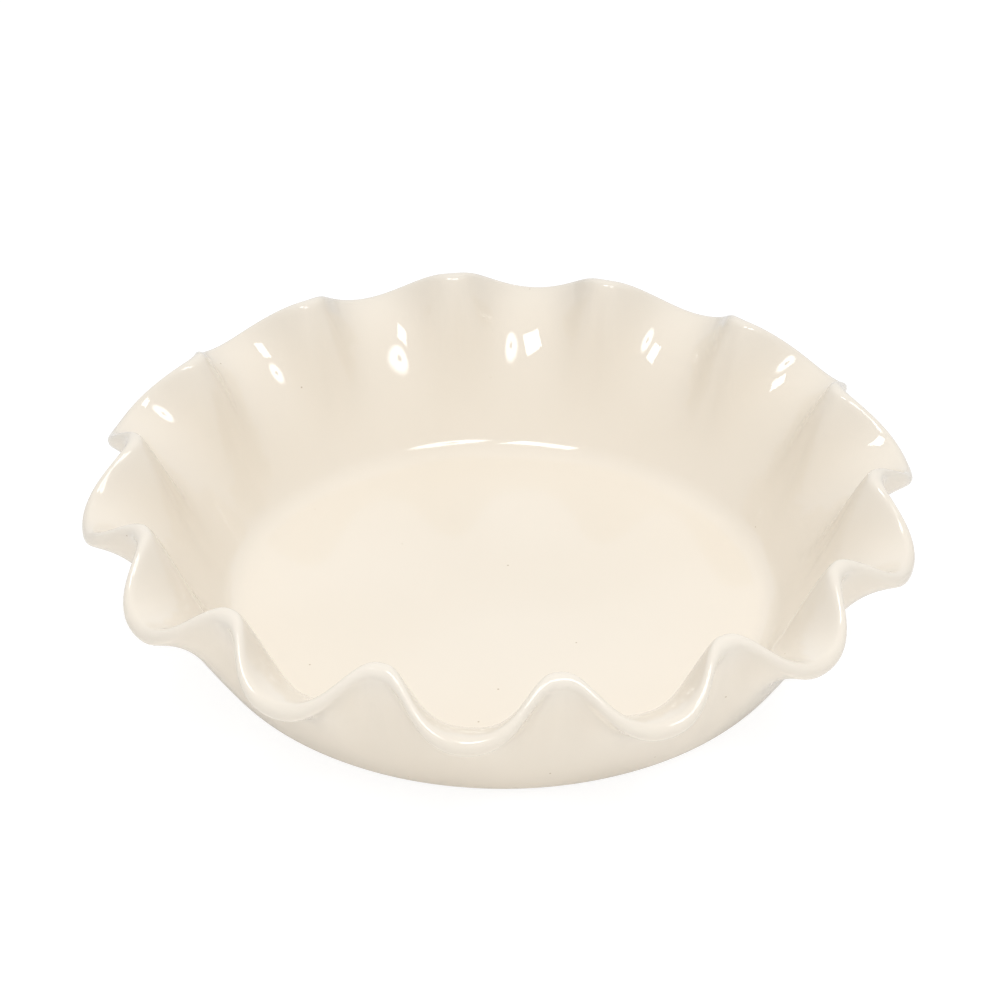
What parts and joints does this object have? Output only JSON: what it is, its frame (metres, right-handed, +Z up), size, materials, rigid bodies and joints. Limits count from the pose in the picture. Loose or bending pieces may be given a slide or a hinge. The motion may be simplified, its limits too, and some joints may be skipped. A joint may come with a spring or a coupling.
{
  "type": "pie dish",
  "caption": "Round ceramic pie dish with a flat floor, a flared wall and a deeply ruffled rim, glazed all over except for its foot ring.",
  "frame": {"origin": "on the dish's axis, in the plane that the foot ring stands on", "axes": "+Z up along the dish's axis; +X outwards through the middle of one lobe of the rim"},
  "size_m": [0.271, 0.2658, 0.0613],
  "materials": {
    "fired_clay": "bare fired clay, matt and slightly grainy",
    "cream_glaze": "glossy cream glaze"
  },
  "bodies": {
    "root": {"clay_body": "fired_clay", "bowl_glaze": "cream_glaze", "base_glaze": "cream_glaze"}
  },
  "joints": []
}
